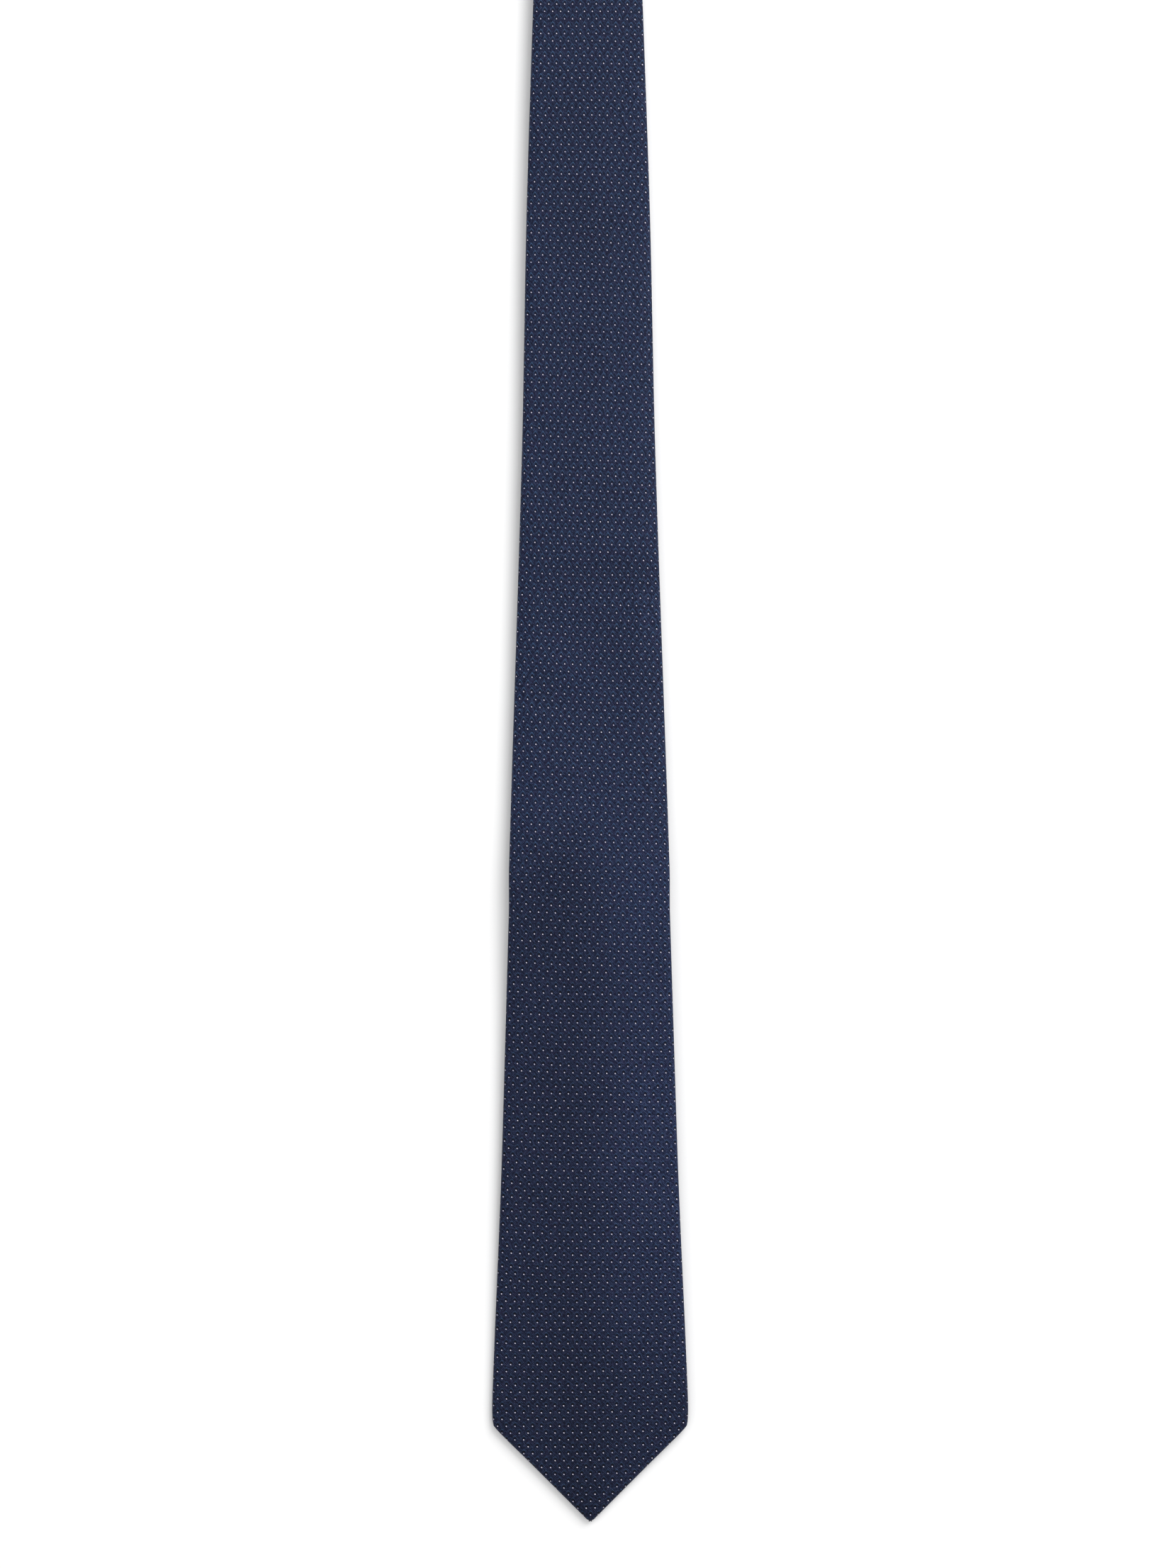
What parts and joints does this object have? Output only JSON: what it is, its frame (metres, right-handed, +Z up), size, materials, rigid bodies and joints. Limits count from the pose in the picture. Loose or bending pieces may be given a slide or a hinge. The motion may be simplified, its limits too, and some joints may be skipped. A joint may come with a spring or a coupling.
{
  "type": "necktie",
  "caption": "Silk necktie folded double at the neck, with interlining, tipping, keeper loop, blank label and stitched seams.",
  "frame": {"origin": "centre of the folded tie's outline, on the table it lies on", "axes": "+Y along the tie from the blade's point to the neck fold, +X across it, +Z up from the table"},
  "size_m": [0.07, 0.855, 0.01],
  "materials": {
    "pindot_silk": "satin",
    "wool_interlining": "matte",
    "tipping_silk": "satin",
    "silk_thread": "satin",
    "woven_label": "matte",
    "satin_label": "satin"
  },
  "bodies": {
    "blade": {"blade_shell_upper": "pindot_silk", "blade_interlining_upper": "wool_interlining", "blade_slip_stitch_upper": "silk_thread", "blade_neck_seam": "silk_thread", "neck_shell_front": "pindot_silk", "neck_interlining_front": "wool_interlining", "neck_slip_stitch_front": "silk_thread"},
    "blade_end": {"blade_shell_end": "pindot_silk", "blade_interlining_end": "wool_interlining", "blade_tipping": "tipping_silk", "blade_slip_stitch_end": "silk_thread", "blade_bar_tack": "silk_thread", "blade_hem_stitch": "silk_thread", "maker_label": "woven_label", "maker_label_stitch": "silk_thread", "keeper_inner": "pindot_silk", "keeper_stitch": "silk_thread"},
    "tail": {"neck_shell_back": "pindot_silk", "neck_interlining_back": "wool_interlining", "neck_slip_stitch_back": "silk_thread", "tail_neck_seam": "silk_thread", "tail_shell_upper": "pindot_silk", "tail_interlining_upper": "wool_interlining", "tail_slip_stitch_upper": "silk_thread"},
    "tail_end": {"tail_shell_end": "pindot_silk", "tail_interlining_end": "wool_interlining", "tail_tipping": "tipping_silk", "tail_slip_stitch_end": "silk_thread", "tail_bar_tack": "silk_thread", "tail_hem_stitch": "silk_thread"},
    "keeper": {"keeper_outer": "pindot_silk"},
    "care_tab": {"care_label": "satin_label"}
  },
  "joints": [
    {"name": "blade_curl", "type": "hinge", "parent": "blade", "child": "blade_end", "pos_m": [0, -0.2005, 0.0071], "axis": [-1, 0, 0], "range_deg": [0, 120]},
    {"name": "neck_unfold", "type": "hinge", "parent": "blade", "child": "tail", "pos_m": [0, 0.428, 0.005], "axis": [1, 0, 0], "range_deg": [0, 180]},
    {"name": "tail_curl", "type": "hinge", "parent": "tail", "child": "tail_end", "pos_m": [0, 0.0135, -0.0004], "axis": [1, 0, 0], "range_deg": [0, 100]},
    {"name": "keeper_open", "type": "slide", "parent": "blade_end", "child": "keeper", "axis": [0, 0, -1], "range_m": [0, 0.006]},
    {"name": "care_label_flip", "type": "hinge", "parent": "blade_end", "child": "care_tab", "pos_m": [0, -0.2815, 0.00105], "axis": [1, 0, 0], "range_deg": [0, 150]}
  ]
}
